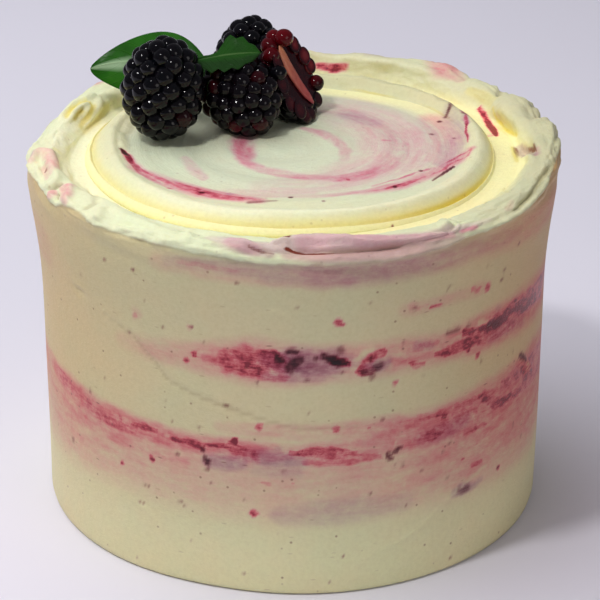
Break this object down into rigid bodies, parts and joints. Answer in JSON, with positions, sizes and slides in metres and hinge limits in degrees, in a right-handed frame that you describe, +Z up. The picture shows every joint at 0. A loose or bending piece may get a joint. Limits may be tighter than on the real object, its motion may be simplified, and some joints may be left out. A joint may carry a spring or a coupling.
{
  "type": "layer cake",
  "caption": "Tall round iced layer cake with berry-marbled sides, a ragged rim, a spread swirl disc on top, dark berries and green leaves",
  "frame": {"origin": "centre of the round base, on the surface the cake rests on", "axes": "+Z up, -Y towards the front of the picture, +X to the right of the picture"},
  "size_m": [0.17, 0.1697, 0.1525],
  "materials": {
    "icing": "soft satin cream icing",
    "berry_skin": "wet glossy near-black skin",
    "berry_core": "moist pale flesh",
    "leaf_green": "waxy dark green"
  },
  "bodies": {
    "root": {"iced_cake": "icing", "swirl_disc": "icing", "berry_left": "berry_skin", "berry_front": "berry_skin", "berry_back": "berry_skin", "berry_half": "berry_skin", "berry_half_core": "berry_core", "leaf_left": "leaf_green", "leaf_middle": "leaf_green"}
  },
  "joints": []
}
